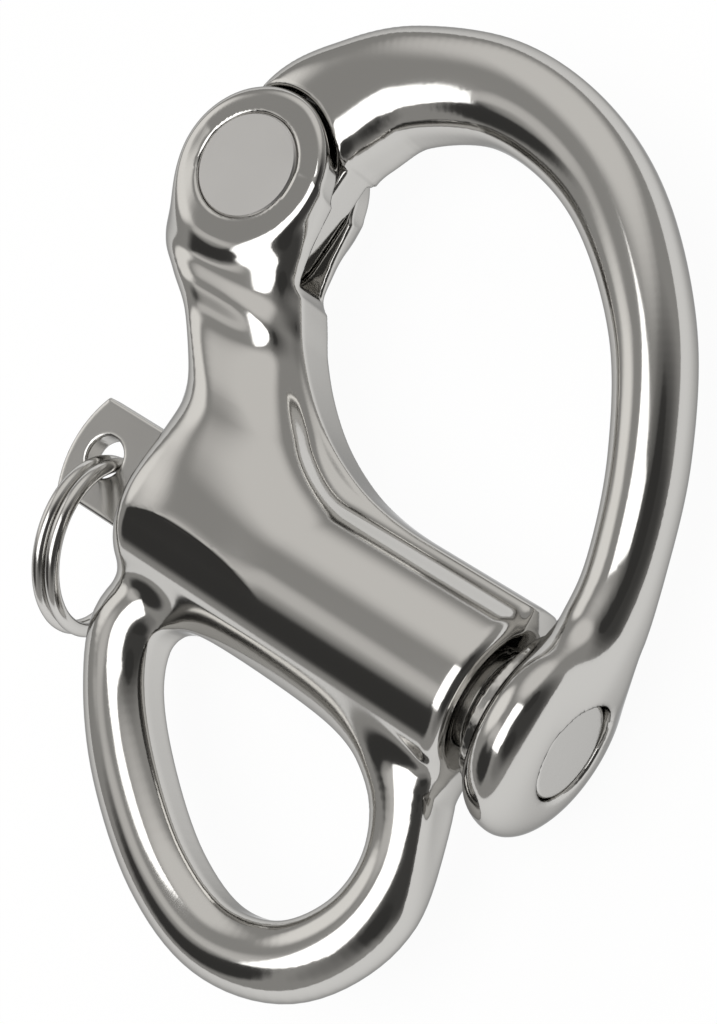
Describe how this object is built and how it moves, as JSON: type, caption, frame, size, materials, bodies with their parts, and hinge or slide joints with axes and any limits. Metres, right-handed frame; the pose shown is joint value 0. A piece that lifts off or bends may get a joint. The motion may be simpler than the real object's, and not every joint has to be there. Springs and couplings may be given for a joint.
{
  "type": "fixed eye snap hook",
  "caption": "Polished stainless snap hook with a fixed eye, a hinged bail locked by a spring plunger, and a split ring on the plunger's pull tab.",
  "frame": {"origin": "middle of the fixed eye on the mid-plane of the hook's thickness", "axes": "+X along the plunger towards the bail's boss, +Y from the eye to the bail's crown, +Z through the thickness out of the side that lies uppermost"},
  "size_m": [0.0499, 0.068, 0.0159],
  "materials": {
    "hook_steel": "mirror polished stainless",
    "rivet_steel": "satin stainless",
    "plunger_steel": "polished stainless",
    "spring_steel": "drawn wire",
    "ring_steel": "polished wire"
  },
  "bodies": {
    "body": {"body": "hook_steel", "pivot_rivet": "rivet_steel", "plunger_spring": "spring_steel"},
    "bail": {"bail": "hook_steel"},
    "plunger": {"plunger": "plunger_steel"},
    "ring": {"split_ring": "ring_steel"}
  },
  "joints": [
    {"name": "bail_swing", "type": "hinge", "parent": "body", "child": "bail", "pos_m": [-0.0237, 0.0367, 0], "axis": [0, 0, 1], "range_deg": [0, 85]},
    {"name": "plunger_pull", "type": "slide", "parent": "body", "child": "plunger", "axis": [-1, 0, 0], "range_m": [0, 0.0065], "stiffness_N_per_m": 800, "springref_m": -0.005, "deforming": ["plunger_spring"]},
    {"name": "ring_swing", "type": "hinge", "parent": "plunger", "child": "ring", "pos_m": [-0.0242, 0.013, 0], "axis": [0, 0, -1], "range_deg": [0, 190]}
  ]
}
